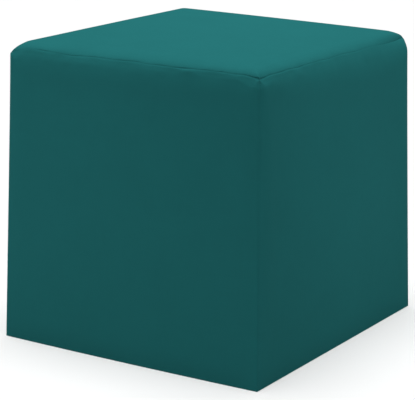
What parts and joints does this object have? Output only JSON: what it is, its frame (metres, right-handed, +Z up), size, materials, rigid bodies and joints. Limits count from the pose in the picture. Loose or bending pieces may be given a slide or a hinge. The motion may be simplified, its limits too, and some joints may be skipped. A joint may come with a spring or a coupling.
{
  "type": "cube pouf stool",
  "caption": "Filled cube-shaped pouf stool in a plain sewn cloth cover, with a slightly crowned top, soft shoulders, drawn-in seams and a flat base to stand on.",
  "frame": {"origin": "centre of the flat base, where the pouf touches the floor", "axes": "+Z up, front side along -Y, +X to the right of someone who looks at the front"},
  "size_m": [0.4182, 0.442, 0.42],
  "materials": {
    "cover_cloth": "matte",
    "filling": "matte"
  },
  "bodies": {
    "root": {"filled_body": "filling", "top_panel": "cover_cloth", "front_panel": "cover_cloth", "right_panel": "cover_cloth", "back_panel": "cover_cloth", "left_panel": "cover_cloth", "base_panel": "cover_cloth"}
  },
  "joints": []
}
